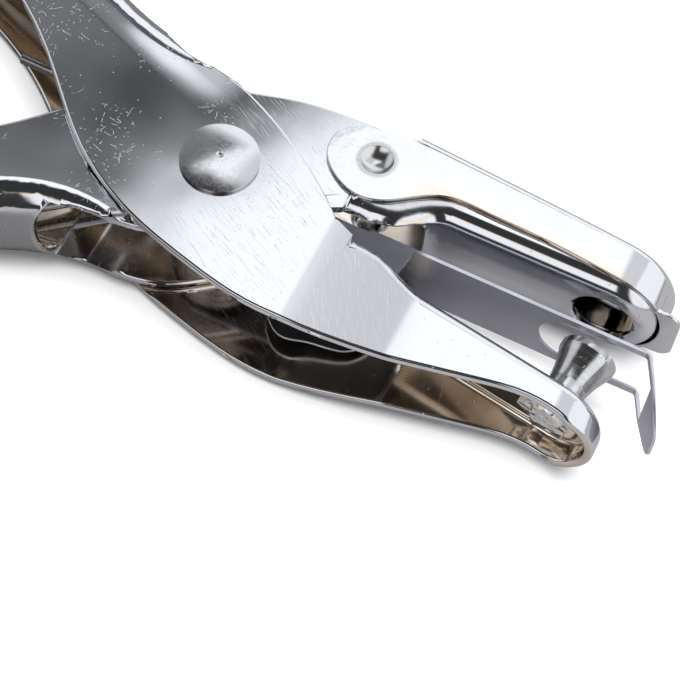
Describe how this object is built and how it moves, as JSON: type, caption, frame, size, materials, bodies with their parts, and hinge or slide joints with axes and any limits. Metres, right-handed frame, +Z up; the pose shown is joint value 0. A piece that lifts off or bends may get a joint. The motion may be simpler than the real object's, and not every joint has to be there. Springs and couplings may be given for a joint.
{
  "type": "hand hole punch",
  "caption": "Plier-type hand punch of plated sheet steel: sprung channel levers on one rivet, a round punch pin, a stripper plate and a hinged chip cover.",
  "frame": {"origin": "centre of the lower rivet head's flat face, on the pivot axis, where the tool rests on its side", "axes": "+X from the pivot towards the jaws, +Y from the punch jaw towards the die jaw, +Z up along the pivot rivet"},
  "size_m": [0.1417, 0.0616, 0.0153],
  "materials": {
    "plated_steel": "bright nickel plate over pressed steel, lightly scratched",
    "rivet_steel": "bright nickel plate, spun head",
    "turned_steel": "turned and hardened steel, fine lathe lines",
    "spring_wire": "drawn spring wire",
    "spring_strip": "rolled spring steel strip, satin",
    "plated_cover": "bright nickel plate over thin pressed steel"
  },
  "bodies": {
    "die_body": {"die_lever": "plated_steel", "pivot_rivet": "rivet_steel", "pivot_sleeve": "turned_steel", "return_spring": "spring_wire"},
    "punch_body": {"punch_lever": "plated_steel", "punch_pin": "turned_steel"},
    "stripper_body": {"stripper_plate": "spring_strip"},
    "cover_body": {"chip_cover": "plated_cover"}
  },
  "joints": [
    {"name": "lever_close", "type": "hinge", "parent": "die_body", "child": "punch_body", "pos_m": [0, 0, 0.00755], "axis": [0, 0, 1], "range_deg": [0, 9], "stiffness_Nm_per_rad": 0.6, "springref_deg": -34.38, "deforming": ["return_spring"]},
    {"name": "stripper_swing", "type": "hinge", "parent": "die_body", "child": "stripper_body", "pos_m": [0, 0, 0.00755], "axis": [0, 0, 1], "range_deg": [0, 4.7]},
    {"name": "cover_open", "type": "hinge", "parent": "die_body", "child": "cover_body", "pos_m": [0.0136, 0.0076, 0.00755], "axis": [0, 0, 1], "range_deg": [0, 72]}
  ],
  "couplings": [
    {"joint": "stripper_swing", "follows": "lever_close", "ratio": 0.522}
  ]
}
